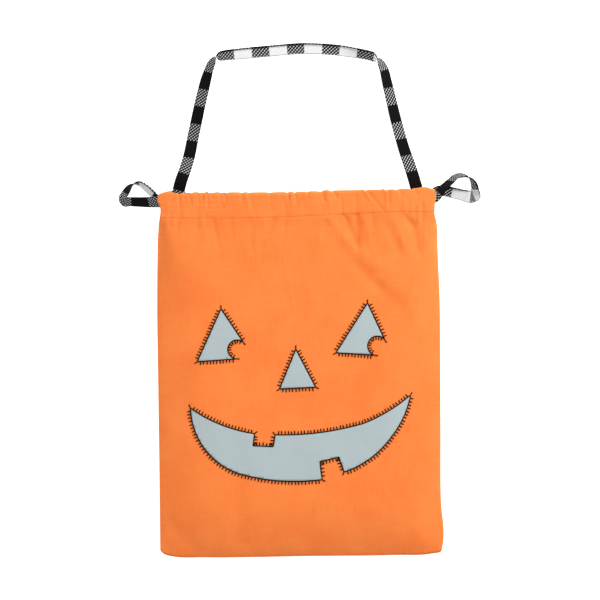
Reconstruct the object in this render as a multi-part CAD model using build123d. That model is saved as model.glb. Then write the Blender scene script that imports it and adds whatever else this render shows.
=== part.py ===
from build123d import *

"""Drawstring treat bag with a long strap handle, lying on its back.

Millimetres. The origin is the middle of the back panel's outer face.
+X is to the bag's right as seen from the front, +Y runs from the bottom seam to the handle,
and +Z comes out of the front panel. The bag rests on the plane z = 0.
"""

import os
from math import atan2, degrees, hypot

# Cloth
PLY = 1.0                 # one panel of cotton, with the air in its wrinkles
SEAM_WIDTH = 7.0          # seam allowance turned inside
SEAM_INSET = 5.0          # from the bag's edge to the allowance, as flattened
SEAM_FOOT = -181.0        # where the side seams end above the bottom one
STRAP_WIDTH = 12.3        # folded check strap, a little under half an inch
STRAP_THICK = 1.2
THREAD = 0.8              # width of a row of stitches
THREAD_HIGH = 0.4
STITCH_LIFT = 0.15        # clear of the cloth below it, on a slope

# Height of the bag as it lies
FRONT_TOP = 16.6          # outer face of the front panel
SLOPE_RUN = 25.0          # how far in from the seams the front panel reaches that height
WALL_RUN = 2.0            # the sloping front's thickness, measured level
BOTTOM_Y = -194.0         # the lowest point of the bottom seam

# Casings: the tunnel hems that hold the drawstrings
CASING_HIGH = 5.1
CASING_WALL = 0.8
CASING_EDGE = 1.0         # from the casing's upper and lower edges to its tunnel
CASING_PAST = 5.0         # the tunnel is cut this far past both ends
RUN_THICK = 1.0
FIRST_LAYER = 0.35        # left drawstring, above the tunnel's floor
SECOND_LAYER = 1.85       # right drawstring, above the tunnel's floor
RUN_Y = 183.6             # centre line of the drawstrings in their tunnels
LEFT_RUN = (-153.0, 134.0)    # where each drawstring's runs begin and end
RIGHT_RUN = (-140.0, 146.0)

# Where the front comes away from the back at the sides
SLIT_Y = 147.5
SLIT_STITCH = 8.5         # length of the stitches that end a slit
SLIT_STITCH_IN = 6.0      # from the bag's edge to their middle
SLIT_STITCH_DOWN = 2.0    # below the slit line
TRAY_PAST = 5.0           # the front's hollow is cut this far past the slit line
CLEAR = 0.3

# Handle
FOLD_Y = 204.0            # the handle bends here as it is lifted
FOLD_Z = 13.0
FOLD_GAP = 1.0
LYING_Z = 0.9             # mid-thickness of the handle where it lies on the table
LEG_OVERLAP = 1.2         # how far each straight stretch runs on into the next
FOOT_Y = 169.0            # the sewn end of each foot
FOOT_BEND = 8.0           # the foot starts to rise this far below the fold
FOOT_OVERLAP = 0.4
TACK_Y = 178.0
TACK_SIZE = 9.0

FRONT_CASING_LOW = FRONT_TOP - CASING_HIGH

# Plan of the bag below the slits, anticlockwise from the slit at the left
BODY_PLAN = [
    (-151.0, SLIT_Y),
    (-152.0, 78.0),
    (-149.0, -102.0),
    (-148.5, -187.0),
    (-140.0, -193.0),
    (0.0, -194.0),
    (146.0, -189.0),
    (152.0, -180.0),
    (149.6, -102.0),
    (148.3, 78.0),
    (145.0, SLIT_Y),
]

# Outer edge of the seam allowance inside the bottom
BOTTOM_SEAM = [(-136.0, -189.0), (0.0, -189.5), (138.0, -185.0)]

# Upper and lower edge of a casing, left to right
CASING_TOP = [(-148.0, 192.0), (20.0, 192.0), (141.5, 197.0)]
CASING_FOOT = [(-148.5, 165.0), (40.0, 168.0), (141.2, 171.0)]

# Mid-line of the handle, from the left fold to the right one
HANDLE_ROUTE = [
    (-117.2, 232.0),
    (-114.0, 248.0),
    (-102.5, 302.0),
    (-97.0, 324.0),
    (-86.0, 337.0),
    (-51.0, 341.0),
    (4.7, 345.0),
    (59.0, 340.5),
    (78.0, 335.0),
    (89.0, 321.0),
    (97.2, 283.0),
    (107.1, 246.0),
    (111.5, 232.0),
]
LEFT_FOLD = (-125.5, FOLD_Y)
RIGHT_FOLD = (120.5, FOLD_Y)

# Mid-lines of the pull loops, the strap standing on its edge
LEFT_LOOP = [
    (-151.5, 185.5),
    (-160.0, 196.0),
    (-174.0, 203.0),
    (-187.0, 199.0),
    (-192.0, 189.0),
    (-187.0, 180.0),
    (-172.0, 179.0),
    (-151.5, 183.0),
]
RIGHT_LOOP = [
    (144.5, 186.5),
    (156.0, 201.0),
    (169.0, 209.5),
    (183.0, 207.0),
    (190.5, 196.0),
    (190.0, 184.5),
    (176.0, 185.0),
    (160.0, 188.0),
    (144.5, 184.0),
]
# Each loop stands between its two runs, the front one above it and the back one below
LEFT_LOOP_LOW = CASING_WALL + FIRST_LAYER + RUN_THICK + CLEAR
LEFT_LOOP_HIGH = FRONT_CASING_LOW + CASING_WALL + FIRST_LAYER
RIGHT_LOOP_LOW = CASING_WALL + SECOND_LAYER + RUN_THICK + CLEAR
RIGHT_LOOP_HIGH = FRONT_CASING_LOW + CASING_WALL + SECOND_LAYER


def plate(outline, low, high):
    """A closed outline raised from low to high."""
    face = make_face(Polyline(*outline, close=True))
    return Pos(0, 0, low) * extrude(face, amount=high - low, dir=(0, 0, 1))


def narrowed(plan, run):
    """The plan with each seam moved in by run, its open end kept at the slit line."""
    points = []
    for x, y in plan:
        side = (x > 0) - (x < 0)
        new_y = y if y == SLIT_Y else max(y, BOTTOM_Y + run)
        points.append((x - side * run, new_y))
    return points


def flat_run(start, end, width, thick, past=0.0):
    """A straight stretch of flat strap between two points, its faces level across."""
    (x0, y0, z0), (x1, y1, z1) = start, end
    level = hypot(x1 - x0, y1 - y0)
    length = hypot(level, z1 - z0)
    turn = degrees(atan2(y1 - y0, x1 - x0))
    dip = -degrees(atan2(z1 - z0, level))
    middle = ((x0 + x1) / 2, (y0 + y1) / 2, (z0 + z1) / 2)
    return Pos(*middle) * Rot(0, 0, turn) * Rot(0, dip, 0) * Box(length + 2 * past, width, thick)


def standing_loop(route, low, high):
    """A strap standing on its edge along a plan route."""
    runs = []
    for (x0, y0), (x1, y1) in zip(route, route[1:]):
        length = hypot(x1 - x0, y1 - y0) + STRAP_THICK
        turn = degrees(atan2(y1 - y0, x1 - x0))
        place = Pos((x0 + x1) / 2, (y0 + y1) / 2, (low + high) / 2) * Rot(0, 0, turn)
        runs.append(place * Box(length, STRAP_THICK, high - low))
    return fuse(runs)


def fuse(shapes):
    """All the shapes as one solid."""
    whole = shapes[0]
    for shape in shapes[1:]:
        whole = whole + shape
    return whole


def front_panel():
    """The front as it lies: a low tray turned over, open at the slit line."""
    return tray(0.0, PLY, FRONT_TOP) - tray(WALL_RUN, PLY - CLEAR, FRONT_TOP - PLY, SLIT_Y + TRAY_PAST)


def tray(run, low, high, open_y=SLIT_Y):
    """A solid on the plan drawn in by run, whose seams slope in as it rises."""
    base = [(x, open_y if y == SLIT_Y else y) for x, y in narrowed(BODY_PLAN, run)]
    crown = [(x, open_y if y == SLIT_Y else y) for x, y in narrowed(BODY_PLAN, run + SLOPE_RUN)]
    lower = Pos(0, 0, low) * make_face(Polyline(*base, close=True))
    upper = Pos(0, 0, high) * make_face(Polyline(*crown, close=True))
    return loft([lower, upper], ruled=True)


def back_panel():
    """The back, flat on the table, from the bottom seam to its casing."""
    return plate(CASING_FOOT[::-1] + BODY_PLAN, 0.0, PLY)


def lengthened(edge, up):
    """A casing's edge moved up, and run on past both of its ends."""
    moved = [(x, y + up) for x, y in edge]
    (left_x, left_y), (right_x, right_y) = moved[0], moved[-1]
    return [(left_x - CASING_PAST, left_y)] + moved[1:-1] + [(right_x + CASING_PAST, right_y)]


def casing(low):
    """A tunnel hem open at both ends."""
    outer = plate(CASING_FOOT + CASING_TOP[::-1], low, low + CASING_HIGH)
    foot = lengthened(CASING_FOOT, CASING_EDGE)
    top = lengthened(CASING_TOP, -CASING_EDGE)
    return outer - plate(foot + top[::-1], low + CASING_WALL, low + CASING_HIGH - CASING_WALL)


def front_casing():
    """The front casing with the strip of cloth between it and the slits."""
    neck_left = BODY_PLAN[0][0] + SLOPE_RUN
    neck_right = BODY_PLAN[-1][0] - SLOPE_RUN
    neck_y = SLIT_Y + 2 * CLEAR
    strip = [(neck_left, neck_y), (neck_right, neck_y)] + CASING_FOOT[::-1]
    return casing(FRONT_CASING_LOW) + plate(strip, FRONT_TOP - PLY, FRONT_TOP)


def stitch_row(points, low):
    """A row of stitches along a line, as one flat cord."""
    upper = [(x, y + THREAD) for x, y in points]
    return plate(points + upper[::-1], low, low + THREAD_HIGH)


def side_seam(side):
    """The seam allowance inside one side."""
    plan = [p for p in BODY_PLAN if p[0] * side > 0 and p[1] > SEAM_FOOT - SEAM_WIDTH]
    outer = [(x - side * SEAM_INSET, max(min(y, SLIT_Y - PLY), SEAM_FOOT)) for x, y in plan]
    inner = [(x - side * SEAM_WIDTH, y) for x, y in outer]
    return plate(outer + inner[::-1], PLY, 2 * PLY)


def bottom_seam():
    """The seam allowance inside the bottom."""
    inner = [(x, y + SEAM_WIDTH) for x, y in BOTTOM_SEAM]
    return plate(BOTTOM_SEAM + inner[::-1], PLY, 2 * PLY)


def slit_stitch(side):
    """The short row of stitches that ends a side slit, lying on the front's slope."""
    edge = BODY_PLAN[0][0] if side < 0 else BODY_PLAN[-1][0]
    rise = FRONT_TOP - PLY
    slope = degrees(atan2(rise, SLOPE_RUN))
    high = PLY + SLIT_STITCH_IN * rise / SLOPE_RUN + THREAD_HIGH + STITCH_LIFT
    place = Pos(edge - side * SLIT_STITCH_IN, SLIT_Y - SLIT_STITCH_DOWN, high)
    return place * Rot(0, side * slope, 0) * Box(SLIT_STITCH, THREAD, THREAD_HIGH)


def drawstring_run(side, casing_low):
    """One drawstring's flat run through a casing."""
    layer = FIRST_LAYER if side < 0 else SECOND_LAYER
    low = casing_low + CASING_WALL + layer
    near, far = LEFT_RUN if side < 0 else RIGHT_RUN
    middle = Pos((near + far) / 2, RUN_Y, low + RUN_THICK / 2)
    return middle * Box(far - near, STRAP_WIDTH, RUN_THICK)


def handle_strap():
    """The handle from fold to fold: two legs that come down to the table, and the top run."""
    route = [(x, y, LYING_Z) for x, y in HANDLE_ROUTE]
    runs = [flat_run(a, b, STRAP_WIDTH, STRAP_THICK, past=LEG_OVERLAP) for a, b in zip(route, route[1:])]
    for fold, foot in ((LEFT_FOLD, route[0]), (RIGHT_FOLD, route[-1])):
        start = (fold[0], fold[1] + FOLD_GAP, FOLD_Z - FOLD_GAP / 2)
        runs.append(flat_run(start, foot, STRAP_WIDTH, STRAP_THICK))
    return fuse(runs)


def handle_foot(fold):
    """The end of the handle, sewn to the inner face of the back casing."""
    x = fold[0]
    lying = CASING_HIGH + STRAP_THICK / 2
    bend = (x, FOLD_Y - FOOT_BEND, lying)
    flat = flat_run((x, FOOT_Y, lying), bend, STRAP_WIDTH, STRAP_THICK, past=FOOT_OVERLAP)
    rise = flat_run(bend, (x, FOLD_Y - FOLD_GAP, FOLD_Z - FOLD_GAP), STRAP_WIDTH, STRAP_THICK)
    return flat + rise


def handle_tack(fold):
    """The box of stitches that holds a foot of the handle."""
    hole = TACK_SIZE - 2 * THREAD
    high = CASING_HIGH + STRAP_THICK + THREAD_HIGH / 2
    box = Box(TACK_SIZE, TACK_SIZE, THREAD_HIGH) - Box(hole, hole, 2 * THREAD_HIGH)
    return Pos(fold[0], TACK_Y, high) * box


def eye(apex, low_left, low_right, right, bite):
    """A three-cornered eye with a round bite out of its lower right corner."""
    edge = Line(low_right, low_left) + Line(low_left, apex) + Line(apex, right)
    edge += ThreePointArc(right, bite, low_right)
    return make_face(edge)


def nose():
    """A three-cornered nose."""
    return make_face(Polyline((-4.8, 26.3), (-22.2, -16.3), (16.3, -14.2), close=True))


def mouth():
    """A wide grin with a square tooth above and another below."""
    left_tip, right_tip = (-116.7, -36.4), (117.0, -22.6)
    edge = ThreePointArc(left_tip, (-84.0, -54.0), (-48.5, -63.5))
    edge += Polyline((-48.5, -63.5), (-50.1, -76.4), (-29.0, -77.3), (-26.6, -64.7))
    edge += ThreePointArc((-26.6, -64.7), (20.0, -62.4), (67.2, -52.6))
    edge += ThreePointArc((67.2, -52.6), (93.5, -39.5), right_tip)
    edge += ThreePointArc(right_tip, (108.0, -49.0), (95.9, -67.7))
    edge += ThreePointArc((95.9, -67.7), (74.5, -89.5), (46.4, -104.1))
    edge += Polyline((46.4, -104.1), (40.6, -88.4), (20.7, -93.1), (23.1, -112.1))
    edge += ThreePointArc((23.1, -112.1), (-22.0, -113.6), (-66.8, -105.3))
    edge += ThreePointArc((-66.8, -105.3), (-97.5, -84.5), left_tip)
    return make_face(edge)


FACE = {
    "left_eye": eye((-84.1, 68.9), (-109.4, 12.6), (-68.1, 15.8), (-60.3, 33.3), (-75.3, 31.1)),
    "right_eye": eye((71.2, 75.2), (37.7, 22.2), (78.5, 19.7), (89.4, 36.3), (72.6, 34.3)),
    "nose": nose(),
    "mouth": mouth(),
}
PATCH_HIGH = 0.5
PURL_IN, PURL_OUT = 0.2, 1.6      # the purl, measured out from a patch's edge
PURL_HIGH = 0.6


def patch(name):
    """A thin appliqué patch on the front."""
    return Pos(0, 0, FRONT_TOP) * extrude(FACE[name], amount=PATCH_HIGH, dir=(0, 0, 1))


def patch_stitching(name):
    """The blanket stitch's purl that runs round a patch."""
    ring = offset(FACE[name], amount=PURL_OUT) - offset(FACE[name], amount=PURL_IN)
    return Pos(0, 0, FRONT_TOP) * extrude(ring, amount=PURL_HIGH, dir=(0, 0, 1))


def nodes():
    """Every named piece of the bag."""
    made = {
        "back_panel": back_panel(),
        "front_panel": front_panel(),
        "back_casing": casing(0.0),
        "front_casing": front_casing(),
        "front_casing_stitch": stitch_row([(x, y - THREAD) for x, y in CASING_FOOT], FRONT_TOP),
        "back_casing_stitch": stitch_row([(x, y - 2 * THREAD) for x, y in CASING_FOOT], PLY),
        "left_side_seam": side_seam(-1),
        "right_side_seam": side_seam(1),
        "bottom_seam": bottom_seam(),
        "left_slit_stitch": slit_stitch(-1),
        "right_slit_stitch": slit_stitch(1),
        "handle_strap": handle_strap(),
        "handle_left_foot": handle_foot(LEFT_FOLD),
        "handle_right_foot": handle_foot(RIGHT_FOLD),
        "handle_left_tack": handle_tack(LEFT_FOLD),
        "handle_right_tack": handle_tack(RIGHT_FOLD),
        "left_pull_loop": standing_loop(LEFT_LOOP, LEFT_LOOP_LOW, LEFT_LOOP_HIGH),
        "right_pull_loop": standing_loop(RIGHT_LOOP, RIGHT_LOOP_LOW, RIGHT_LOOP_HIGH),
        "left_front_run": drawstring_run(-1, FRONT_CASING_LOW),
        "right_front_run": drawstring_run(1, FRONT_CASING_LOW),
        "left_back_run": drawstring_run(-1, 0.0),
        "right_back_run": drawstring_run(1, 0.0),
    }
    for name in FACE:
        made[name + "_patch"] = patch(name)
        made[name + "_stitching"] = patch_stitching(name)
    return made


os.makedirs("parts", exist_ok=True)
for node, shape in nodes().items():
    export_step(shape, f"parts/{node}.step")
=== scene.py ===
"""Looks of the drawstring treat bag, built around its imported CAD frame.

Shapes are worked out in millimetres in the frame's own axes, and put into Blender in metres.
"""

import math
import random

import bpy
import numpy as np
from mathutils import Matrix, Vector, geometry, noise


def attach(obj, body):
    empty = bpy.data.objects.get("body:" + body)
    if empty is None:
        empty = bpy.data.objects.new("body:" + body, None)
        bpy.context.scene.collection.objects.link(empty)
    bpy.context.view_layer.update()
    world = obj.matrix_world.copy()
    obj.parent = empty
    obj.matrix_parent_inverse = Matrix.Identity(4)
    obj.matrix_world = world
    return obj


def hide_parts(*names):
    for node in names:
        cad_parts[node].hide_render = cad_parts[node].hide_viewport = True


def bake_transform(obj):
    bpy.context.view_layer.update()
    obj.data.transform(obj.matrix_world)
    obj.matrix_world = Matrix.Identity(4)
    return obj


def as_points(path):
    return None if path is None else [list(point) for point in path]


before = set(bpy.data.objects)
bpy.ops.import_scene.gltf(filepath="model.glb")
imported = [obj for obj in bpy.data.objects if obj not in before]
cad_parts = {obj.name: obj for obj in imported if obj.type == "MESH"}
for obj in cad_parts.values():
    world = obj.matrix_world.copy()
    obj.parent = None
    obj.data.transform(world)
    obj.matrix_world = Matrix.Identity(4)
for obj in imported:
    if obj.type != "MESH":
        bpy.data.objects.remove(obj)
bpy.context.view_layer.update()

MM = 0.001

# ---------------------------------------------------------------- sizes, in mm
STRAP_WIDTH = 12.3
STRAP_THICK = 1.1
TWILL = 3.65              # pitch of the twill's diagonals, along the strap
BLOCK = 18.75             # one block of the strap's check, along it
CLOTH_THICK = 0.6

# The bag's outline: its side edges as (y, x), its bottom and top edges as (x, y)
LEFT_EDGE = [
    (-192, -148.8), (-102, -149.8), (0, -151.2), (78, -152.2), (120, -151.8), (149, -150.9),
    (160, -149.3), (168, -147.6), (175, -147.6), (184, -151.0), (191, -148.0),
]
RIGHT_EDGE = [
    (-192, 149.2), (-180, 151.6), (-134, 149.4), (-60, 149.0), (30, 148.6), (78, 148.1), (132, 145.9),
    (153, 145.2), (160, 144.2), (170, 141.4), (178, 141.6), (190, 142.9), (197, 141.0),
]
BOTTOM_EDGE = [
    (-150, -187.6), (-147.5, -190.6), (-143, -192.9), (-137, -194.2), (-102, -195.4), (-50, -195.0),
    (0, -194.0), (99, -192.8), (136, -191.2), (147, -188.4), (152, -183.8),
]
TOP_EDGE = [
    (-151, 188.9), (-147, 190.5), (-120, 190.9), (-42, 190.9), (0, 191.8), (21, 192.9), (63, 194.0),
    (106, 195.2), (127, 196.3), (138, 197.0), (142, 195.4),
]
STITCH_LINE = [(-151, 164.6), (-40, 165.1), (43, 168.5), (124, 171.4), (142, 170.8)]

# Heights of the cloth as it lies
CROWN = 15.6              # middle of the front
CASING_HIGH = 16.9        # the front casing, over the drawstrings that run in it
SEAM_HIGH = 2.7           # the front at the seams
SLIT_HIGH = 12.0          # the front's free edge below the casing
SLIT_Y = 147.5
PILLOW_REACH = 62.0       # how far in from a seam the front takes to reach its height
CASING_REACH = 13.0       # the same just below the casing
CASING_ROLL = 2.6         # radius of the front casing's folded top
BACK_ROLL = 2.3           # radius of the back casing's folded top
HEM_GAP = 1.3             # between the outer faces of the two plies at the casing stitches
BACK_LOW = 0.45
BACK_SEAM = 1.4
# How far the back's top edge stands above the front's, as (x, y)
BACK_SHOWS = [(-151, 1.9), (-40, 1.8), (40, 1.3), (142, 0.4)]

# Where the front changes from one form to the next
SLIT_RISE = (SLIT_Y - 8, SLIT_Y + 26)     # its edges lift off the back between these
REACH_CHANGES = (60, 160)                 # its reach goes from PILLOW_REACH to CASING_REACH
CASING_RISE = (-13, 3)                    # it rises to the casing, measured from the stitch row
CASING_END_DROP = 2.2                     # the casing is this much lower at its ends
CASING_END_REACH = 9.0
STITCH_VALLEY = 0.22                      # dent under the casing stitches, and its half-width
STITCH_VALLEY_WIDE = 1.1
BACK_SEAM_ENDS = (SLIT_Y - 4, SLIT_Y + 12)    # the back's side seams stop lifting it between these
BACK_SEAM_REACH = 14

# How the creases are applied
TOP_CREASE_Y = 187        # creases that start above this run into the casing's folded top
TOP_CREASE_FADE = (168, 189)
TOP_CREASE_LEFT = 0.3     # share of such a crease that is left at its lower end
LOW_CREASE = 0.8          # share of any other crease
CREASE_WIDER = 1.2
CREASE_HIGHER = 1.1
VALLEY_LIMIT = 0.95       # deepest that creases together can go
NOTCH_DEEP = 0.9          # dip of the folded top, as a share of the crease's depth
NOTCH_WIDE = 1.5
GATHER_COUNT = 34

# Creases of the casing and just below it: x and y at each end, half-width, height (below 0 is a valley)
CREASES = [
    (-132.9, 190, -136.6, 181, 1.2, -1.5), (-128.2, 190, -126.4, 167, 1.2, -1.5),
    (-121.3, 190, -121.8, 184, 1.0, -1.0), (-117, 190, -114.9, 177.5, 1.2, -1.5),
    (-107.7, 190, -107, 179.5, 1.1, -1.2), (-103.2, 190, -103.2, 184, 1.0, -0.9),
    (-97.4, 190, -97.9, 173, 1.2, -1.5), (-99.9, 189, -100.2, 175, 1.4, 0.8),
    (-93.2, 190, -93.2, 184.5, 1.0, -0.8), (-84.7, 189, -81.5, 174, 1.3, -1.0),
    (-78.9, 190, -78.9, 182.5, 1.2, -1.3), (-61.9, 190, -61.9, 183, 1.2, -0.9),
    (-55, 190, -48.1, 167, 1.6, -1.0), (-57, 189, -53, 168, 2.2, 0.6),
    (-32.2, 189, -30.6, 168, 1.9, -0.8), (-17.4, 184, -15.3, 168, 1.8, -0.8),
    (-13.1, 191, -12.4, 184, 1.3, -1.2), (-10, 190, -7.8, 169, 2.0, 0.8),
    (-5.7, 191, -3.4, 180, 1.3, -1.2), (3.0, 186, 3.6, 177, 1.6, -0.6), (8.1, 191, 8.1, 185, 1.2, -1.1),
    (22.9, 192, 25, 182, 1.3, -1.3), (19, 189, 23, 171, 2.5, -0.6), (28.6, 191, 31.8, 172, 2.0, 0.8),
    (34.6, 192, 38.8, 186, 1.2, -1.2), (43, 184, 43.6, 168, 1.3, -1.2), (57.9, 187, 58.9, 168, 2.0, -0.9),
    (70.6, 193, 75, 186, 1.2, -1.2), (75, 187, 86.5, 173, 1.5, -0.9), (68.4, 192, 74, 184, 1.4, 0.8),
    (90.6, 194, 91.2, 173, 1.2, 1.1), (92.9, 195, 93.4, 180, 1.2, -1.7),
    (104.2, 195, 106.2, 189.5, 1.3, -1.3), (119.6, 196, 122.8, 190, 1.4, -1.3),
    (109.5, 182, 110, 171, 1.4, 0.7), (103.4, 179, 103.8, 171, 1.3, -0.7),
    (118, 178, 116.6, 171, 1.3, 0.7), (128.4, 178, 128.4, 161, 1.4, -1.9),
    (125.4, 178, 124.6, 162, 1.6, 0.9), (133.6, 156, 133.1, 146, 1.0, -0.6),
    (131.6, 156, 131, 146, 1.2, 0.4), (-137, 174.2, -67, 174.2, 0.9, -0.35),
    (-137.2, 170, -137.2, 156, 1.5, -1.2), (-128.2, 167, -129.8, 153, 1.8, -1.1),
    (-108.5, 175, -108.5, 152, 1.8, -0.7), (-98.9, 167, -99.2, 156, 1.6, -0.6),
    (-132.6, 151, -131.9, 138, 1.5, 0.5), (-143.6, 183, -144.8, 169, 2.4, -0.8),
    (74.8, 168, 76.6, 155, 2.0, -0.8), (-15.3, 165, -17, 155, 1.6, -0.6),
]
FOLDS = [
    (-26.4, 165, -41, 135, 3.2, -1.3), (-36.5, 164, -47, 141, 4.5, 0.7),
    (28.2, 168, 47.3, 141.7, 5.5, 1.2), (47.3, 141.7, 79, 115, 7, 1.2), (45.2, 169, 60, 134, 3.6, -1.5),
    (58.9, 169, 60, 137, 4.0, -1.5), (68.5, 161, 76, 131, 3.8, 0.9), (57.9, 115, 82.3, 90.8, 6, -1.3),
    (82.3, 90.8, 107, 70.5, 7, -1.2), (89.7, 115, 103.5, 88.7, 10, 1.2), (91.8, 155, 104.5, 129, 5, -0.9),
    (100.3, 161, 111, 131, 4.2, 1.0), (110.9, 165, 118.3, 155.5, 3.2, -1.1),
    (118.3, 157.6, 124.7, 128, 4.6, -1.5), (-18.4, 126, -7.8, 72, 1.9, 0.3),
    (-92.6, 165, -86.3, 133, 2.4, -0.5), (-68, -120, -64, -176, 9, -0.7),
    (-136, -160, -112, -187, 8, -0.9), (60, -130, 66, -186, 12, -0.6), (118, -128, 128, -176, 11, 0.6),
    (20, 80, 26, -20, 16, -0.5), (-20, -130, -14, -180, 12, 0.4), (-130, 60, -132, -40, 12, -0.5),
]
# tucked away in a fold so far. At tilt 0 the dark face is up, at 90 the strap stands on edge with its dark
# face to the left of travel, and at 180 the light face is up.
HANDLE = [
    (-133, 172, 5.3, 0), (-131.2, 182, 5.4, 0), (-129.2, 192, 8.2, 0), (-125.8, 204, 12.0, 2),
    (-121.7, 216, 9.4, 8), (-118, 230, 4.4, 12), (-114.7, 247, 1.2, 15), (-111, 265, 0.6, 16),
    (-107.2, 283, 0.6, 17), (-103.2, 300, 0.6, 20), (-100.2, 312, 0.6, 26), (-97.2, 321.6, 0.6, 38),
    (-94.0, 329.4, 0.5, 46), (-90.6, 333.9, 0.5, 64, 0.3), (-87.6, 336.4, 0.5, 112, 1.0),
    (-83.6, 338.0, 0.5, 142, 1.4), (-78.4, 339.0, 0.5, 155, 1.5), (-70, 340.0, 0.5, 163, 1.5),
    (-59, 341.1, 0.5, 167, 1.4), (-42.3, 342.6, 0.5, 169, 1.4), (-23.4, 344.4, 0.5, 169, 1.4),
    (4.7, 346.2, 0.5, 169, 1.4), (30, 345.3, 0.5, 168, 1.5), (44, 343.9, 0.5, 165, 1.6),
    (56, 342.0, 0.5, 158, 1.8), (66, 340.2, 0.5, 152, 2.0), (73.4, 338.4, 0.5, 146, 1.8),
    (78.6, 336.2, 0.5, 132, 1.2), (82.0, 333.6, 0.5, 74, 0.3), (85.6, 329.0, 0.5, 48),
    (89, 321.6, 0.5, 38), (91.4, 311.6, 0.5, 32), (95.6, 294, 0.5, 26), (100, 275, 0.6, 22),
    (105, 256, 0.8, 19), (110, 238, 3.0, 16), (114.7, 223, 8.0, 9), (120.4, 204, 12.0, 2),
    (123.4, 194, 9.0, 0), (126, 182, 5.4, 0), (128, 172, 5.3, 0),
]
LEFT_PULL = [
    (134, 183.6, 12.6, 0), (0, 183.6, 12.6, 0), (-120, 183.6, 12.6, 0), (-142, 183.2, 12.2, 3),
    (-150, 182.2, 8.6, 22), (-158, 181.7, 3.5, 36), (-170, 182.0, 0.6, 42), (-181, 182.4, 0.3, 46),
    (-186.9, 182.3, 0.3, 46), (-188.5, 185.3, 0.3, 46), (-185.4, 191.8, 0.4, 48),
    (-180.8, 197.8, 0.4, 60), (-175.6, 201.4, 0.4, 90, 0.7), (-170.0, 201.8, 0.4, 114, 1.3),
    (-163.5, 197.6, 0.4, 127, 1.5), (-157.4, 192.8, 0.6, 137, 2.4), (-151.6, 188.4, 1.0, 146, 3.6),
    (-146, 185.4, 1.3, 166, 3.0), (-139, 184.0, 1.5, 180), (-131, 183.6, 1.5, 180),
]
RIGHT_PULL = [
    (-138, 183.6, 13.8, 0), (0, 183.6, 13.8, 0), (110, 183.8, 13.8, 0), (134, 184.4, 12.9, 0),
    (141, 187.2, 10.6, 8), (147, 192.4, 7.8, 40), (152, 197.6, 6.2, 54), (159, 203.9, 3.0, 58),
    (165, 209.2, 0.6, 64), (173, 210.2, 0.3, 68), (180.0, 207.2, 0.3, 90, 0.8),
    (184.6, 200.8, 0.3, 118, 1.3), (186.0, 194.4, 0.3, 132, 1.2), (185.4, 189.4, 0.9, 160, 0, 6),
    (180.4, 187.6, 2.4, 192, 0, 24), (173, 190.0, 0.8, 196, 1.0, 24), (163, 192.6, 0.4, 195, 1.3, 24),
    (154, 194.6, 0.4, 198, 1.3, 24), (147, 194.6, 0.7, 208, 1.0, 24), (139.4, 188.8, 2.2, 192, 0.3, 24),
    (128, 184, 2.95, 180, 0, 24),
]
LEFT_BACK = [(-131, 183.6, 1.5, 180), (-80, 183.6, 1.2, 180), (20, 183.6, 1.2, 180), (134, 183.6, 1.2, 180)]
RIGHT_BACK = [(128, 184, 2.95, 180), (80, 183.6, 2.7, 180), (-20, 183.6, 2.7, 180), (-138, 183.6, 2.7, 180)]
ROLLED_TILT = 35.0        # tilt of the rolled-over part of a strap
STRAP_STEP = 0.95         # between points along a strap
HANDLE_START = -4.6       # where the check begins on each strap
LEFT_START = -241.1
RIGHT_START = -268.4

# Threads
CASING_THREAD_RADIUS = 0.24
STITCH_LIFT = 0.28        # middle of the casing thread above the cloth
TACK_RADIUS = 0.28
PURL_RADIUS = 0.6
PURL_LIFT = 0.55
LEG_LIFT = 0.42
PATCH_LIFT = 0.15
PATCH_THICK = 0.35

rng = random.Random(31)


# ---------------------------------------------------------------- shared shape helpers
def curve(points):
    """A smooth function through (input, value) pairs in rising order."""
    at = np.array([p[0] for p in points], float)
    value = np.array([p[1] for p in points], float)
    slope = np.gradient(value, at)

    def read(x):
        x = np.clip(x, at[0], at[-1])
        i = np.clip(np.searchsorted(at, x) - 1, 0, len(at) - 2)
        gap = at[i + 1] - at[i]
        t = (x - at[i]) / gap
        t2, t3 = t * t, t * t * t
        return ((2 * t3 - 3 * t2 + 1) * value[i] + (t3 - 2 * t2 + t) * gap * slope[i]
                + (3 * t2 - 2 * t3) * value[i + 1] + (t3 - t2) * gap * slope[i + 1])

    return read


def smoothstep(low, high, x):
    """0 below low, 1 above high, and smooth between."""
    t = np.clip((x - low) / (high - low), 0, 1)
    return t * t * (3 - 2 * t)


def through(points, step):
    """Points evenly spaced along a smooth line through the given ones, whatever they hold after x, y, z."""
    points = np.array(points, float)
    along = np.concatenate([[0], np.cumsum(np.linalg.norm(np.diff(points[:, :3], axis=0), axis=1))])
    reads = [curve(list(zip(along, column))) for column in points.T]
    fine = np.linspace(0, along[-1], 2000)
    dense = np.stack([read(fine) for read in reads], axis=1)
    length = np.concatenate([[0], np.cumsum(np.linalg.norm(np.diff(dense[:, :3], axis=0), axis=1))])
    even = np.linspace(0, length[-1], max(2, int(round(length[-1] / step)) + 1))
    return np.stack([np.interp(even, length, column) for column in dense.T], axis=1), even


def new_mesh(name, points, faces, attribute=None, values=None, smooth=True):
    """A mesh object from points in mm, with a texture coordinate in mm kept on its points."""
    mesh = bpy.data.meshes.new(name)
    mesh.from_pydata([tuple(float(c) * MM for c in p) for p in points], [], faces)
    if attribute:
        layer = mesh.attributes.new(attribute, "FLOAT_VECTOR", "POINT")
        layer.data.foreach_set("vector", np.array(values, np.float32).ravel())
    mesh.polygons.foreach_set("use_smooth", [smooth] * len(mesh.polygons))
    mesh.update()
    made = bpy.data.objects.new(name, mesh)
    bpy.context.scene.collection.objects.link(made)
    return made


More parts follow.
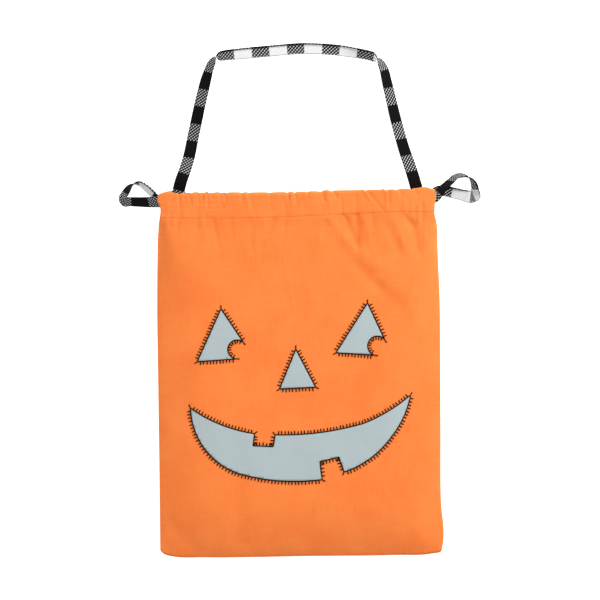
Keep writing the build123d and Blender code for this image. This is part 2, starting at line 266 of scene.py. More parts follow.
def grid_faces(rows, columns):
    """Faces of a grid of points laid row after row."""
    return [(r * columns + c, r * columns + c + 1, (r + 1) * columns + c + 1, (r + 1) * columns + c)
            for r in range(rows - 1) for c in range(columns - 1)]


# ---------------------------------------------------------------- materials
class Shader:
    """A material's node tree, with short calls for the nodes that it uses."""

    def __init__(self, name):
        self.material = bpy.data.materials.new(name)
        self.material.use_nodes = True
        self.tree = self.material.node_tree
        self.main = self.tree.nodes["Principled BSDF"]

    def put(self, socket, value):
        if isinstance(value, bpy.types.NodeSocket):
            self.tree.links.new(value, socket)
        else:
            socket.default_value = value

    def math(self, operation, a, b=0.0, clamp=False):
        node = self.tree.nodes.new("ShaderNodeMath")
        node.operation = operation
        node.use_clamp = clamp
        self.put(node.inputs[0], a)
        self.put(node.inputs[1], b)
        return node.outputs[0]

    def attribute(self, name):
        node = self.tree.nodes.new("ShaderNodeAttribute")
        node.attribute_name = name
        split = self.tree.nodes.new("ShaderNodeSeparateXYZ")
        self.put(split.inputs[0], node.outputs["Vector"])
        return split.outputs[0], split.outputs[1], node.outputs["Vector"]

    def vector(self, x, y, z=0.0):
        node = self.tree.nodes.new("ShaderNodeCombineXYZ")
        for socket, value in zip(node.inputs, (x, y, z)):
            self.put(socket, value)
        return node.outputs[0]

    def noise(self, vector, scale, detail=2.0):
        node = self.tree.nodes.new("ShaderNodeTexNoise")
        self.put(node.inputs["Vector"], vector)
        node.inputs["Scale"].default_value = scale
        node.inputs["Detail"].default_value = detail
        return node.outputs["Fac"]

    def mix(self, share, a, b):
        node = self.tree.nodes.new("ShaderNodeMix")
        node.data_type = "RGBA"
        self.put(node.inputs["Factor"], share)
        self.put(node.inputs["A"], a)
        self.put(node.inputs["B"], b)
        return node.outputs["Result"]

    def ramp(self, value, low, high, to_low=0.0, to_high=1.0):
        node = self.tree.nodes.new("ShaderNodeMapRange")
        node.interpolation_type = "SMOOTHSTEP"
        self.put(node.inputs["Value"], value)
        for name, number in (("From Min", low), ("From Max", high), ("To Min", to_low), ("To Max", to_high)):
            node.inputs[name].default_value = number
        return node.outputs["Result"]

    def bump(self, height, strength, distance):
        node = self.tree.nodes.new("ShaderNodeBump")
        self.put(node.inputs["Height"], height)
        node.inputs["Strength"].default_value = strength
        node.inputs["Distance"].default_value = distance
        self.put(self.main.inputs["Normal"], node.outputs[0])

    def finish(self, colour, roughness, sheen=0.0, specular=0.2):
        self.put(self.main.inputs["Base Color"], colour)
        self.put(self.main.inputs["Roughness"], roughness)
        self.main.inputs["Sheen Weight"].default_value = sheen
        self.main.inputs["Specular IOR Level"].default_value = specular
        return self.material


def linear(red, green, blue):
    """A colour given as 0 to 255 sRGB, in the linear values that shaders take."""
    def one(c):
        c /= 255
        return c / 12.92 if c <= 0.04045 else ((c + 0.055) / 1.055) ** 2.4
    return (one(red), one(green), one(blue), 1.0)


def plain_weave(shader, across, along, pitch):
    """Height of a plain weave: over and under by turns, from 0 to 1."""
    turn = math.pi / pitch
    a = shader.math("SINE", shader.math("MULTIPLY", across, turn))
    b = shader.math("SINE", shader.math("MULTIPLY", along, turn))
    product = shader.math("MULTIPLY", a, b)
    ridges = shader.math("ABSOLUTE", product)
    return shader.math("ADD", shader.math("MULTIPLY", product, 0.35), ridges)


def slubs(shader, across, along):
    """Uneven yarns both ways, from about -1 to 1."""
    stretched, fine = 0.045, 1.1
    weft_at = shader.vector(shader.math("MULTIPLY", across, stretched), shader.math("MULTIPLY", along, fine))
    weft = shader.noise(weft_at, 1.0, 3.0)
    warp_at = shader.vector(
        shader.math("MULTIPLY", across, fine), shader.math("MULTIPLY", along, stretched), 7.0,
    )
    warp = shader.noise(warp_at, 1.0, 3.0)
    both = shader.math("ADD", weft, warp)
    return shader.math("MULTIPLY", shader.math("SUBTRACT", both, 1.0), 3.0)


def cotton(name, base, dark, weave_pitch, sheen):
    """Matt woven cotton whose yarns vary in colour, with painted shade in the low spots of the weave."""
    s = Shader(name)
    across, along, whole = s.attribute("cloth")
    yarn = slubs(s, across, along)
    cloud = s.noise(whole, 0.021, 2.0)
    fleck = s.noise(whole, 1.6, 2.0)
    weave = plain_weave(s, across, along, weave_pitch)
    share = s.math("ADD", s.math("MULTIPLY", yarn, 0.28), s.ramp(cloud, 0.3, 0.72, 0.1, 0.4))
    share = s.math("ADD", share, s.ramp(fleck, 0.35, 0.7, -0.12, 0.22))
    # Painted shade: the colour goes darker where the weave lies low, following the same height as the bump.
    share = s.math("SUBTRACT", share, s.math("MULTIPLY", weave, 0.10), clamp=True)
    colour = s.mix(share, base, dark)
    rough = s.ramp(yarn, -1.0, 1.0, 0.78, 0.92)
    height = s.math("ADD", weave, s.math("MULTIPLY", yarn, 0.5))
    s.bump(height, 0.3, 0.00022)
    return s.finish(colour, rough, sheen, 0.12)


def strap_cloth(name, block_colour, block_shade, first_block, twill_light, edge_colour, seed):
    """One face of the checked strap: plain blocks and twill blocks by turns.

    first_block is 0 where the pattern starts on a twill block, and 1 where it starts on a plain one.
    """
    edge_from, edge_to = 5.55, 5.9        # distance from the middle where the dotted edge begins
    dot_pitch, rib_pitch = 1.9, 0.8
    s = Shader(name)
    across, along, _ = s.attribute("strap")
    wobble = s.noise(s.vector(s.math("MULTIPLY", across, 0.9), along, seed), 0.9, 1.0)
    repeats = s.math("DIVIDE", along, 2 * BLOCK)
    uneven = s.math("MULTIPLY", s.math("SUBTRACT", wobble, 0.5), 0.012)
    turn = s.math("ADD", repeats, uneven)
    turn = s.math("FRACT", s.math("ADD", turn, 0.5 * first_block + 10.0))
    twill_block = s.math("MULTIPLY", s.ramp(turn, 0.0, 0.010), s.ramp(turn, 0.495, 0.505, 1.0, 0.0))
    diagonal = s.math("FRACT", s.math("ADD", s.math("DIVIDE", s.math("ADD", across, along), TWILL), 10.0))
    line = s.math("MULTIPLY", s.ramp(diagonal, 0.08, 0.22), s.ramp(diagonal, 0.42, 0.58, 1.0, 0.0))
    counter = s.math("FRACT", s.math("ADD", s.math("DIVIDE", s.math("SUBTRACT", across, along), TWILL), 10.0))
    dots = s.math("MULTIPLY", line, s.ramp(counter, 0.25, 0.65, 0.08, 1.0))
    twill = s.mix(dots, linear(13, 11, 12), twill_light)
    grain = s.noise(s.vector(s.math("MULTIPLY", across, 2.6), s.math("MULTIPLY", along, 0.5), seed), 1.0, 2.0)
    plain = s.mix(s.ramp(grain, 0.25, 0.8), block_colour, block_shade)
    colour = s.mix(twill_block, plain, twill)
    edge = s.ramp(s.math("ABSOLUTE", across), edge_from, edge_to)
    dotted = s.ramp(s.math("FRACT", s.math("ADD", s.math("DIVIDE", along, dot_pitch), 10.0)), 0.35, 0.6)
    colour = s.mix(s.math("MULTIPLY", edge, dotted), colour, edge_colour)
    ribs = s.math("SINE", s.math("MULTIPLY", along, 2 * math.pi / rib_pitch))
    s.bump(s.math("ADD", s.math("MULTIPLY", dots, 0.8), s.math("MULTIPLY", ribs, 0.25)), 0.35, 0.0003)
    return s.finish(colour, s.ramp(grain, 0.2, 0.8, 0.74, 0.9), 0.0, 0.04)


def thread(name, base, light):
    """Twisted sewing thread, with painted light and shade along its plies: the twist's raised ridges take the
    second colour, and so does uneven fuzz.
    """
    s = Shader(name)
    across, along, whole = s.attribute("thread")
    twist = s.math("SINE", s.math("ADD", s.math("MULTIPLY", along, 7.0), s.math("MULTIPLY", across, 2.0)))
    fuzz = s.noise(whole, 2.4, 2.0)
    # Painted light and shade: the twist's ridges, raised by the bump below, take the second colour.
    share = s.math("ADD", s.ramp(twist, -1.0, 1.0, 0.0, 0.35), s.ramp(fuzz, 0.3, 0.8, 0.0, 0.4), clamp=True)
    s.bump(twist, 0.3, 0.0001)
    return s.finish(s.mix(share, base, light), s.ramp(fuzz, 0.2, 0.8, 0.62, 0.85), 0.0, 0.06)


def floor_material():
    """Bright paper with a faint tooth."""
    s = Shader("floor_paper")
    coordinates = s.tree.nodes.new("ShaderNodeNewGeometry").outputs["Position"]
    tooth = s.noise(coordinates, 160.0, 2.0)
    s.bump(tooth, 0.04, 0.0004)
    s.main.inputs["Emission Color"].default_value = (1.0, 1.0, 1.0, 1.0)
    s.main.inputs["Emission Strength"].default_value = 0.8
    return s.finish(linear(250, 250, 250), s.ramp(tooth, 0.3, 0.7, 0.84, 0.92))


# Each cotton's second colour serves its uneven yarns and also the painted shade in the weave's low spots.
ORANGE = cotton("orange_cotton", linear(250, 136, 67), linear(240, 109, 42), 0.62, 0.05)
PATCH = cotton("patch_cotton", linear(177, 189, 191), linear(167, 179, 182), 0.5, 0.03)
STRAP_DARK = strap_cloth(
    "strap_dark_face", block_colour=linear(15, 12, 13), block_shade=linear(24, 21, 23), first_block=0,
    twill_light=linear(212, 215, 216), edge_colour=linear(20, 17, 18), seed=1.0,
)
STRAP_LIGHT = strap_cloth(
    "strap_light_face", block_colour=linear(238, 240, 240), block_shade=linear(216, 219, 220), first_block=1,
    twill_light=linear(232, 235, 236), edge_colour=linear(196, 198, 198), seed=5.0,
)
# Each thread's second colour is painted on its twist's ridges: painted light on the black thread, painted
# shade on the orange one.
BLACK_THREAD = thread("black_thread", linear(14, 9, 9), linear(30, 20, 18))
ORANGE_THREAD = thread("casing_thread", linear(236, 120, 88), linear(214, 96, 66))


# ---------------------------------------------------------------- camera, light and floor
def camera():
    """Straight above the bag, with the bag's own +Y up the picture."""
    lens, sensor = 90.0, 36.0
    picture_width = 0.636             # metres across the picture, at the height of the front
    front_high = 0.006
    middle_x, middle_y = -0.0004, 0.0781
    data = bpy.data.cameras.new("main_camera")
    data.lens = lens
    data.sensor_width = sensor
    data.clip_start = 0.01
    made = bpy.data.objects.new("main_camera", data)
    bpy.context.scene.collection.objects.link(made)
    made.location = (middle_x, middle_y, picture_width * lens / sensor + front_high)
    bpy.context.scene.camera = made


def area_light(name, place, target, size, power):
    """A round light at a place in metres, turned to its target."""
    data = bpy.data.lights.new(name, "AREA")
    data.shape = "DISK"
    data.size = size
    data.energy = power
    made = bpy.data.objects.new(name, data)
    bpy.context.scene.collection.objects.link(made)
    made.location = place
    made.rotation_euler = (Vector(target) - Vector(place)).to_track_quat("-Z", "Y").to_euler()


def studio():
    """A white floor under a large key light from the upper right, a fill, and a bright surround."""
    surround_strength = 0.48
    area_light("key", (1.25, 1.30, 1.28), (0.0, 0.05, 0.0), 1.3, 47.0)
    area_light("fill", (-1.3, 0.3, 1.5), (0.0, 0.0, 0.0), 1.2, 8.0)
    world = bpy.data.worlds.new("surround")
    world.use_nodes = True
    world.node_tree.nodes["Background"].inputs["Color"].default_value = (1.0, 1.0, 1.0, 1.0)
    world.node_tree.nodes["Background"].inputs["Strength"].default_value = surround_strength
    bpy.context.scene.world = world
    half_floor = 6000
    corners = [(a * half_floor, b * half_floor, 0) for a, b in ((-1, -1), (1, -1), (1, 1), (-1, 1))]
    floor = new_mesh("floor", corners, [(0, 1, 2, 3)], smooth=False)
    floor.data.materials.append(floor_material())
    bpy.context.scene.view_settings.view_transform = "Standard"


# ---------------------------------------------------------------- straps
def strap_frame(route, step):
    """The strap's mid-line, its sideways and upward directions, and its tilt, roll and pattern along it."""
    rows = [list(row) + [0.0] * (6 - len(row)) for row in route]
    line, along = through(rows, step)
    tilt = np.radians(line[:, 3])
    centre = line[:, :3].copy()
    centre[:, 2] += 0.5 * STRAP_THICK * abs(np.cos(tilt)) + 0.5 * STRAP_WIDTH * abs(np.sin(tilt))
    travel = np.gradient(centre, axis=0)
    travel /= np.linalg.norm(travel, axis=1)[:, None]
    left = np.stack([-travel[:, 1], travel[:, 0], np.zeros(len(travel))], axis=1)
    left /= np.linalg.norm(left, axis=1)[:, None]
    up = np.cross(travel, left)
    roll = np.clip(line[:, 4], 0, None)
    pattern = along + line[:, 5]
    return centre, left, up, tilt, roll, pattern, along[-1]


def strap_section(centre, left, up, tilt, roll, half, thick):
    """Points across the strap, with its raised edge rolled over towards its light face."""
    share = np.array([1, 0.94, 0.88, 0.8, 0.68, 0.5, 0.26, 0])
    stations = half * np.concatenate([-share, share[-2::-1]])
    middle = len(stations) // 2
    right_edge = tilt > math.pi
    side = np.where(right_edge, 1.0, -1.0)[:, None]
    rolled = np.radians(np.where(right_edge, 360 - ROLLED_TILT, ROLLED_TILT))[:, None]
    past = smoothstep(-0.35, 0.35, side * stations - (half - roll[:, None]))
    past = past * smoothstep(0.1, 0.6, roll)[:, None]
    lean = tilt[:, None] + (rolled - tilt[:, None]) * past

    def axes(angle):
        c, s = np.cos(angle)[:, :, None], np.sin(angle)[:, :, None]
        return c * left[:, None] - s * up[:, None], c * up[:, None] + s * left[:, None]

    direction, normal = axes(lean)
    between, _ = axes(0.5 * (lean[:, 1:] + lean[:, :-1]))
    hops = between * np.diff(stations)[None, :, None]
    surface = np.zeros((len(centre), len(stations), 3))
    for i in range(middle + 1, len(stations)):
        surface[:, i] = surface[:, i - 1] + hops[:, i - 1]
    for i in range(middle - 1, -1, -1):
        surface[:, i] = surface[:, i + 1] - hops[:, i]
    surface += centre[:, None]
    tooth = np.where(np.arange(len(centre)) % 2, 0.22, -0.10)[:, None]
    ends = surface[:, -1] + direction[:, -1] * (0.3 * thick + tooth)
    starts = surface[:, 0] - direction[:, 0] * (0.3 * thick + tooth)
    pillow_up = thick * 0.5 * (0.86 + 0.14 * np.cos(stations / half * math.pi / 2))[None, :, None]
    top, low = surface + normal * pillow_up, surface - normal * pillow_up
    ring = np.concatenate([top, ends[:, None], low[:, ::-1], starts[:, None]], axis=1)
    across = np.concatenate([stations, [half], stations[::-1], [-half]])
    return ring, across, len(stations)


def strap(name, route, start=0.0, width=STRAP_WIDTH, thick=STRAP_THICK):
    """A flat strap along a route, the path of its middle in metres, and its length.

    start is where its check pattern begins.
    """
    centre, left, up, tilt, roll, along, length = strap_frame(route, STRAP_STEP)
    ring, across, dark_count = strap_section(centre, left, up, tilt, roll, width / 2, thick)
    rows, count = ring.shape[:2]
    points = ring.reshape(-1, 3)
    pattern = np.repeat(along + start, count)
    values = np.stack([np.tile(across, rows), pattern, np.zeros(rows * count)], axis=1)
    faces, slots = [], []
    for r in range(rows - 1):
        for c in range(count):
            d = (c + 1) % count
            faces.append((r * count + c, r * count + d, (r + 1) * count + d, (r + 1) * count + c))
            slots.append(1 if dark_count < c < 2 * dark_count else 0)
    faces += [tuple(range(count))[::-1], tuple(range(len(points) - count, len(points)))]
    slots += [0, 0]
    made = new_mesh(name, points, faces, "strap", values)
    made.data.materials.append(STRAP_DARK)
    made.data.materials.append(STRAP_LIGHT)
    made.data.polygons.foreach_set("material_index", slots)
    path = [tuple(p * MM) for p in centre[:-3:6]] + [tuple(centre[-1] * MM)]
    return made, path, length * MM


def straps():
    """The handle, and for each drawstring its loop with the front run, and its back run."""
    handle, path, length = strap("handle", HANDLE, start=HANDLE_START)
    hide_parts("handle_strap", "handle_left_foot", "handle_right_foot")
    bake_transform(handle)
    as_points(path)
    for side, route, back_route, exit_point, start in (
        ("left", LEFT_PULL, LEFT_BACK, (-0.149, 0.1830, 0.0090), LEFT_START),
        ("right", RIGHT_PULL, RIGHT_BACK, (0.143, 0.1910, 0.0120), RIGHT_START),
    ):
        pull, path, length = strap(side + "_pull_strap", route, start)
        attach(pull, side + "_drawstring")
        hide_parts(side + "_pull_loop", side + "_front_run")
        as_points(path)
        back, _, _ = strap(side + "_back_strap", back_route, start)
        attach(back, side + "_back_drawstring")
        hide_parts(side + "_back_run")


# ---------------------------------------------------------------- the bag's cloth
left_of, right_of = curve(LEFT_EDGE), curve(RIGHT_EDGE)
bottom_of, top_of, stitch_of = curve(BOTTOM_EDGE), curve(TOP_EDGE), curve(STITCH_LINE)
back_shows = curve(BACK_SHOWS)


def pillow(distance, reach, power=0.8):
    """How far up the cloth has come at a distance from a seam, from 0 to 1."""
    near = np.clip(distance / reach, 0, 1)
    return (1 - (1 - near) ** 2) ** power


def fold(x, y, x0, y0, x1, y1, half_width, high):
    """A soft ridge or valley along a line, fading out past its ends."""
    dx, dy = x1 - x0, y1 - y0
    t = ((x - x0) * dx + (y - y0) * dy) / (dx * dx + dy * dy)
    near_x, near_y = x0 + np.clip(t, 0, 1) * dx, y0 + np.clip(t, 0, 1) * dy
    off = (x - near_x) ** 2 + (y - near_y) ** 2
    return high * np.exp(-off / half_width ** 2)


def gather_folds():
    """Small folds that run down from the gathered casing."""
    made = []
    first_x, spread = -146, 286
    for i in range(GATHER_COUNT):
        x = first_x + spread * (i + rng.uniform(0.1, 0.9)) / GATHER_COUNT
        long = rng.uniform(14, 48)
        lean = rng.uniform(-0.12, 0.12) * long
        made.append((x, 165, x + lean, 165 - long, rng.uniform(2.2, 4.4), rng.uniform(-0.45, 0.4)))
    return made


GATHERS = gather_folds()


def ripple(x, y):
    """Slow unevenness all over the cloth."""
    flat_x, flat_y = np.ravel(x), np.ravel(y)
    made = [noise.noise(Vector((a * 0.018, b * 0.012, 3.3))) * 0.9
            + noise.noise(Vector((a * 0.06, b * 0.035, 9.1))) * 0.28 for a, b in zip(flat_x, flat_y)]
    return np.reshape(made, np.shape(x))


def from_side(x, y):
    """Distance from the nearer side edge."""
    return np.minimum(x - left_of(y), right_of(y) - x)


def front_base(x, y):
    """The front's outer face without its creases."""
    casing = smoothstep(*CASING_RISE, y - stitch_of(x))
    edge = SEAM_HIGH + (SLIT_HIGH - SEAM_HIGH) * smoothstep(*SLIT_RISE, y)
    reach = PILLOW_REACH + (CASING_REACH - PILLOW_REACH) * smoothstep(*REACH_CHANGES, y)
    from_sides = pillow(x - left_of(y), reach) * pillow(right_of(y) - x, reach)
    body = edge + (CROWN - edge) * from_sides * pillow(y - bottom_of(x), PILLOW_REACH)
    casing_top = CASING_HIGH - CASING_END_DROP * (1 - pillow(from_side(x, y), CASING_END_REACH, 0.7))
    z = body + (casing_top - body) * casing
    return z - STITCH_VALLEY * np.exp(-((y - stitch_of(x)) / STITCH_VALLEY_WIDE) ** 2)


def creases(x, y):
    """All the creases together, with their valleys kept off the straps below."""
    crisp = np.zeros(np.shape(x))
    top_fade = TOP_CREASE_LEFT + (1 - TOP_CREASE_LEFT) * smoothstep(*TOP_CREASE_FADE, y)
    for x0, y0, x1, y1, half, high in CREASES:
        fade = top_fade if y0 > TOP_CREASE_Y else LOW_CREASE
        crisp = crisp + fold(x, y, x0, y0, x1, y1, CREASE_WIDER * half, CREASE_HIGHER * high) * fade
    return np.where(crisp < 0, VALLEY_LIMIT * np.tanh(crisp / VALLEY_LIMIT), crisp)


def front_height(x, y):
    """The front's outer face above the table."""
    x, y = np.asarray(x, float), np.asarray(y, float)
    soft = smoothstep(0, 12, from_side(x, y)) * smoothstep(0, 16, y - bottom_of(x))
    wrinkles = ripple(x, y) * (1 - 0.7 * smoothstep(-6, 3, y - stitch_of(x)))
    for f in FOLDS + GATHERS:
        wrinkles = wrinkles + fold(x, y, *f) * smoothstep(-2, 5, stitch_of(x) - y)
    return front_base(x, y) + wrinkles * soft + creases(x, y) * smoothstep(0, 4, from_side(x, y))


def top_notches(x):
    """How far the casing's folded top dips where a crease reaches it."""
    dip = np.zeros(np.shape(x))
    for x0, y0, _, _, half, high in CREASES:
        if y0 > TOP_CREASE_Y:
            dip = dip + NOTCH_DEEP * high * np.exp(-np.abs((x - x0) / (NOTCH_WIDE * half)) ** 1.5)
    return dip


def back_height(x, y):
    """The back's outer face: nearly flat on the table, lifting at the seams, which end at the slits."""
    inside = np.minimum(from_side(x, y), y - bottom_of(x))
    lift = (BACK_SEAM - BACK_LOW) * (1 - smoothstep(*BACK_SEAM_ENDS, y))
    return BACK_LOW + lift * (1 - pillow(inside, BACK_SEAM_REACH, 0.7))


def panel(name, height_of, roll_side, roll, top_line):
    """One panel with its casing: out along the outer face, round the folded top and back down inside.

    roll_side is -1 where the casing folds down towards the back, and 1 where it folds up.
    Rows of points lie closer together in the casing than below it.
    """
    columns = 330
    share = np.linspace(0, 1, columns)
    guess = -150 + 296 * share
    low, high = bottom_of(guess), top_line(guess)
    main = np.concatenate([np.linspace(0, 0.87, 118), np.linspace(0.8725, 1, 58)])
    rows, flat = [], []
    for t in main:
        y = low + (high - roll - low) * t
        x = left_of(y) + (right_of(y) - left_of(y)) * share
        rows.append(np.stack([x, y, height_of(x, y)], axis=1))
        flat.append(np.stack([x, y, 0 * x], axis=1))
    last, last_flat = rows[-1], flat[-1]
    for turn in np.linspace(20, 180, 9):
        angle = math.radians(turn)
        y = last[:, 1] + roll * math.sin(angle)
        z = last[:, 2] + roll_side * roll * (1 - math.cos(angle))
        rows.append(np.stack([last[:, 0], y, z], axis=1))
        flat.append(last_flat + np.array([0, roll * angle, 0]))
    end, end_flat = rows[-1], flat[-1]
    drop = last[:, 1] - stitch_of(last[:, 0])
    plain = front_base if roll_side < 0 else back_height
    carried = last[:, 2] - plain(last[:, 0], last[:, 1])
    for t in np.linspace(0.06, 1, 16):
        y = end[:, 1] - drop * t
        depth = 2 * roll * (1 - t ** 3) + HEM_GAP * t ** 3
        x = left_of(y) + (right_of(y) - left_of(y)) * share
        z = plain(x, y) + roll_side * depth + carried * (1 - t) ** 3
        rows.append(np.stack([x, y, z], axis=1))
        flat.append(end_flat + np.stack([0 * x, drop * t, 0 * x], axis=1))
    points, values = np.concatenate(rows), np.concatenate(flat)
    made = new_mesh(name, points, grid_faces(len(rows), columns), "cloth", values)
    made.data.materials.append(ORANGE)
    thick = made.modifiers.new("cloth", "SOLIDIFY")
    thick.thickness = CLOTH_THICK * MM
    thick.offset = -1.0 if roll_side < 0 else 1.0
    return made


def seam_allowances():
    """The seam allowances inside the bag."""
    high, side_in, bottom_in = 1.9, 8.5, 8.0

    def side(edge_of, inward):
        stations = (SLIT_Y - 2, 90, 20, -60, -130, -180)
        return [(float(edge_of(y)) + inward * side_in, y, high, 0) for y in stations]

    routes = {
        "left_side_seam": side(left_of, 1),
        "right_side_seam": side(right_of, -1),
        "bottom_seam": [(x, float(bottom_of(x)) + bottom_in, high, 0) for x in (-134, -70, 0, 70, 134)],
    }
    for node, route in routes.items():
        made, _, _ = strap(node + "_allowance", route, width=7.0, thick=0.9)
        cloth = made.data.attributes.new("cloth", "FLOAT_VECTOR", "POINT")
        flat = np.zeros(len(made.data.vertices) * 3, np.float32)
        made.data.attributes["strap"].data.foreach_get("vector", flat)
        cloth.data.foreach_set("vector", flat)
        made.data.materials.clear()
        made.data.materials.append(ORANGE)
        made.data.polygons.foreach_set("material_index", [0] * len(made.data.polygons))
        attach(made, "bag")
        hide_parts(node)


# ---------------------------------------------------------------- stitches
def tubes(name, lines, radius, material):
    """Thread along each of the lines, rounded off at its ends, as one piece."""
    sides = 6
    points, faces, values = [], [], []
    for line in lines:
        line = np.array(line, float)
        travel = np.gradient(line, axis=0)
        travel /= np.linalg.norm(travel, axis=1)[:, None] + 1e-9
        side_on = np.cross(travel, (0, 0, 1))
        side_on /= np.linalg.norm(side_on, axis=1)[:, None] + 1e-9
        top = np.cross(side_on, travel)
        first = len(points)
        along = 0.0
        for i, middle in enumerate(line):
            along += 0.0 if i == 0 else float(np.linalg.norm(middle - line[i - 1]))
            thin = 0.55 if i in (0, len(line) - 1) else 1.0
            for k in range(sides):
                a = 2 * math.pi * k / sides
                points.append(middle + radius * thin * (side_on[i] * math.cos(a) + top[i] * math.sin(a)))
                values.append((k, along, 0.0))
        for i in range(len(line) - 1):
            for k in range(sides):
                a, b = first + i * sides + k, first + i * sides + (k + 1) % sides
                faces.append((a, b, b + sides, a + sides))
        faces.append(tuple(first + k for k in range(sides))[::-1])
        faces.append(tuple(len(points) - sides + k for k in range(sides)))
    made = new_mesh(name, points, faces, "thread", values)
    made.data.materials.append(material)
    return made


def stitch_row(name, start_x, end_x, line_of, height_of, lift, stitch=2.1, gap=0.9):
    """A row of machine stitches that follows the cloth."""
    lines = []
    x = start_x
    while x + stitch < end_x:
        at = np.linspace(x, x + stitch, 4)
        y = line_of(at)
        z = height_of(at, y) + lift * np.array([0.1, 1.0, 1.0, 0.1])
        lines.append(np.stack([at, y, z], axis=1))
        x += stitch + gap
    return tubes(name, lines, CASING_THREAD_RADIUS, ORANGE_THREAD)


def level_line(y):
    """A line straight across at one y."""
    return lambda x: np.full(np.shape(x), float(y))


def hem_face(x, y):
    """The inner ply of the back casing."""
    return back_height(x, y) + HEM_GAP


def casing_rows():
    """The stitches under both casings. Gives back the front row, which lies on the front cloth."""
    front = stitch_row("front_casing_stitches", -148.0, 140.5, stitch_of, front_height, STITCH_LIFT)
    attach(front, "front_flap")
    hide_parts("front_casing_stitch")
    back = stitch_row(
        "back_casing_stitches", -146.0, 139.5, lambda x: stitch_of(x) + 1.4, hem_face, STITCH_LIFT,
    )
    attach(back, "bag")
    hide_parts("back_casing_stitch")
    return front


def slit_rows():
    """The short rows that end the side slits."""
    for side, start_x, end_x, y in (("left", -150.4, -141.0, 148.2), ("right", 136.6, 145.0, 148.0)):
        row = stitch_row(
            side + "_slit_stitches", start_x, end_x, level_line(y), front_height, STITCH_LIFT,
        )
        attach(row, "bag")
        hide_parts(side + "_slit_stitch")


def handle_tacks():
    """The crossed boxes that hold the handle's feet."""
    half, low_y, high_y = 4.2, 173.5, 180
    foot_high = 5.3
    top = foot_high + STRAP_THICK + 0.05
    for side, x in (("left", -131.0), ("right", 126.0)):
        left, right = x - half, x + half
        box = [(left, low_y, top), (right, low_y, top), (right, high_y, top), (left, high_y, top)]
        lines = [np.linspace(a, b, 4) for a, b in zip(box, box[1:] + box[:1])]
        lines += [np.linspace(box[0], box[2], 5), np.linspace(box[1], box[3], 5)]
        tack = tubes(f"handle_{side}_stitches", lines, TACK_RADIUS, BLACK_THREAD)
        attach(tack, "bag")
        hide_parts(f"handle_{side}_tack")


# ---------------------------------------------------------------- the face
def arc(start, middle, end, step=1.2):
    """Points on the arc through three points, without its last one."""
    (ax, ay), (bx, by), (cx, cy) = start, middle, end
    d = 2 * (ax * (by - cy) + bx * (cy - ay) + cx * (ay - by))
    a2, b2, c2 = ax * ax + ay * ay, bx * bx + by * by, cx * cx + cy * cy
    ox = (a2 * (by - cy) + b2 * (cy - ay) + c2 * (ay - by)) / d
    oy = (a2 * (cx - bx) + b2 * (ax - cx) + c2 * (bx - ax)) / d
    radius = math.hypot(ax - ox, ay - oy)
    first, half, last = (math.atan2(p[1] - oy, p[0] - ox) for p in (start, middle, end))
    turn = (last - first) % (2 * math.pi)
    if (half - first) % (2 * math.pi) > turn:
        turn -= 2 * math.pi
    count = max(3, int(abs(turn) * radius / step))
    angles = first + turn * np.arange(count) / count
    return [(ox + radius * math.cos(a), oy + radius * math.sin(a)) for a in angles]


def straight(start, end, step=1.2):
    """Points on a straight stretch, without its last one."""
    count = max(2, int(math.hypot(end[0] - start[0], end[1] - start[1]) / step))
    return [(start[0] + (end[0] - start[0]) * i / count, start[1] + (end[1] - start[1]) * i / count)
            for i in range(count)]


def eye(apex, low_left, low_right, right, bite):
    """The stretches of an eye's outline, anticlockwise from its lower left corner."""
    return [
        straight(low_left, low_right), arc(low_right, bite, right),
        straight(right, apex), straight(apex, low_left),
    ]


def nose():
    """The stretches of the nose's outline."""
    corners = [(-22.2, -16.3), (16.3, -14.2), (-4.8, 26.3)]
    return [straight(a, b) for a, b in zip(corners, corners[1:] + corners[:1])]


def mouth():
    """The stretches of a wide grin's outline, with a tooth from above and one from below."""
    left_tip, right_tip = (-116.7, -36.4), (117.0, -22.6)
    lower = [(-66.8, -105.3), (23.1, -112.1), (20.7, -93.1), (40.6, -88.4), (46.4, -104.1), (95.9, -67.7)]
    upper = [(67.2, -52.6), (-26.6, -64.7), (-29.0, -77.3), (-50.1, -76.4), (-48.5, -63.5)]
    low_left = arc(left_tip, (-97.5, -84.5), lower[0]) + arc(lower[0], (-22.0, -113.6), lower[1])
    low_right = arc(lower[4], (74.5, -89.5), lower[5]) + arc(lower[5], (108.0, -49.0), right_tip)
    top_right = arc(right_tip, (93.5, -39.5), upper[0]) + arc(upper[0], (20.0, -62.4), upper[1])
    return [
        low_left, straight(lower[1], lower[2]), straight(lower[2], lower[3]), straight(lower[3], lower[4]),
        low_right, top_right, straight(upper[1], upper[2]), straight(upper[2], upper[3]),
        straight(upper[3], upper[4]), arc(upper[4], (-84.0, -54.0), left_tip),
    ]


FACE = {
    "left_eye": eye((-84.1, 68.9), (-109.4, 12.6), (-68.1, 15.8), (-60.3, 33.3), (-75.3, 31.1)),
    "right_eye": eye((71.2, 75.2), (37.7, 22.2), (78.5, 19.7), (89.4, 36.3), (72.6, 34.3)),
    "nose": nose(),
    "mouth": mouth(),
}
FACE_SCALE = 0.994        # from the outlines above to the cloth, about FACE_CENTRE
FACE_CENTRE = (0.0, 78.0)


def on_cloth(stretch):
    """A stretch of an outline at its true size on the front."""
    return [tuple(c + (value - c) * FACE_SCALE for value, c in zip(point, FACE_CENTRE)) for point in stretch]


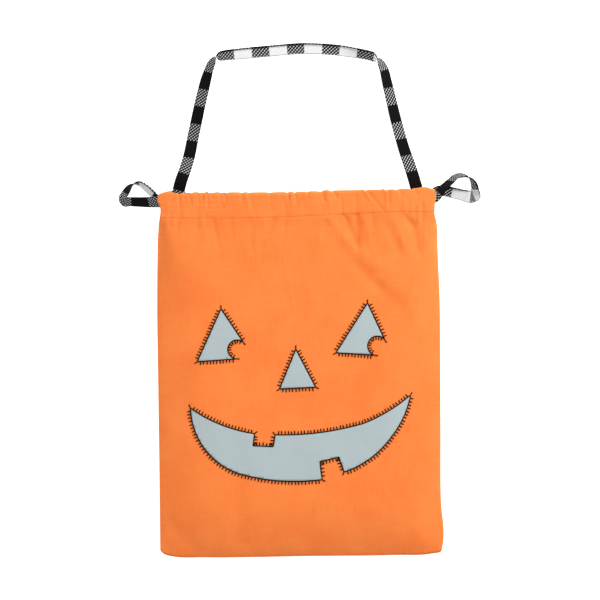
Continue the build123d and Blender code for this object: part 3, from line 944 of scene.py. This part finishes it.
def patch(name, outline):
    """The patch's cloth, filled with an even lattice so that it lies on the wrinkled front."""
    xs, ys = [p[0] for p in outline], [p[1] for p in outline]
    count = len(outline)
    lattice = [(x, y) for x in np.arange(min(xs), max(xs), 3.0) for y in np.arange(min(ys), max(ys), 3.0)]
    edges = [(i, (i + 1) % count) for i in range(count)]
    spots = [Vector(p) for p in list(outline) + lattice]
    points, _, faces, *_ = geometry.delaunay_2d_cdt(spots, edges, [tuple(range(count))], 1, 0.001)
    flat = np.array([(p.x, p.y) for p in points])
    used = sorted({i for f in faces for i in f})
    again = {old: new for new, old in enumerate(used)}
    flat = flat[used]
    z = front_height(flat[:, 0], flat[:, 1]) + PATCH_LIFT
    corners = np.stack([flat[:, 0], flat[:, 1], z], axis=1)
    made = new_mesh(name, corners, [tuple(again[i] for i in f) for f in faces], "cloth",
                    np.stack([flat[:, 0], flat[:, 1], 0 * z], axis=1))
    made.data.materials.append(PATCH)
    thick = made.modifiers.new("cloth", "SOLIDIFY")
    thick.thickness = PATCH_THICK * MM
    thick.offset = 1.0
    return made


def on_front(points, lift):
    """Plan points raised to the front's face."""
    flat = np.array(points, float)
    z = front_height(flat[:, 0], flat[:, 1]) + lift
    return np.stack([flat[:, 0], flat[:, 1], z], axis=1)


def blanket_stitches(name, stretches):
    """The purl round a patch, with a leg pointing out every few millimetres and one at each corner."""
    pitch, leg = 3.5, 3.9
    outline = [p for stretch in stretches for p in stretch]
    lines = [on_front(outline + outline[:1], PURL_LIFT)]
    for number, stretch in enumerate(stretches):
        following = stretches[(number + 1) % len(stretches)]
        ends = np.array(stretch + [following[0]], float)
        length = np.concatenate([[0], np.cumsum(np.linalg.norm(np.diff(ends, axis=0), axis=1))])
        count = max(1, int(round(length[-1] / pitch)))
        before = np.array(stretches[number - 1][-1], float)
        for i in range(count):
            at = length[-1] * i / count
            base = np.array([np.interp(at, length, column) for column in ends.T])
            ahead = np.array([np.interp(at + 0.6, length, column) for column in ends.T])
            direction = ahead - base
            direction /= np.linalg.norm(direction)
            long = leg + rng.uniform(-0.35, 0.35)
            if i == 0:
                came = base - before
                came /= np.linalg.norm(came)
                direction = direction + came
                direction /= np.linalg.norm(direction) + 1e-9
            lean = rng.uniform(-0.13, 0.13)
            out = np.array([direction[1], -direction[0]]) + lean * direction
            spots = [base + out * long * share for share in (0.0, 0.35, 0.7, 1.0)]
            leg_line = on_front(spots, LEG_LIFT)
            leg_line[-1, 2] -= 0.3
            lines.append(leg_line)
    return tubes(name, lines, PURL_RADIUS, BLACK_THREAD)


def face():
    """The four patches, each with its blanket stitches."""
    made = []
    for name, drawn in FACE.items():
        stretches = [on_cloth(stretch) for stretch in drawn]
        outline = [p for stretch in stretches for p in stretch]
        cloth = patch(name + "_cloth", outline)
        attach(cloth, "bag")
        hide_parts(name + "_patch")
        stitches = blanket_stitches(name + "_blanket_stitch", stretches)
        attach(stitches, "bag")
        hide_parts(name + "_stitching")
        made += [cloth, stitches]
    return made


# ---------------------------------------------------------------- the whole scene
camera()
straps()
studio()

face_pieces = face()
front_stitches = casing_rows()
slit_rows()
handle_tacks()
seam_allowances()

front = panel("front_cloth", front_height, -1, CASING_ROLL, lambda x: top_of(x) + top_notches(x))
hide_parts("front_panel", "front_casing")
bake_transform(front)

back = panel("back_cloth", back_height, 1, BACK_ROLL, lambda x: top_of(x) + back_shows(x) + top_notches(x))
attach(back, "bag")
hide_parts("back_panel", "back_casing")
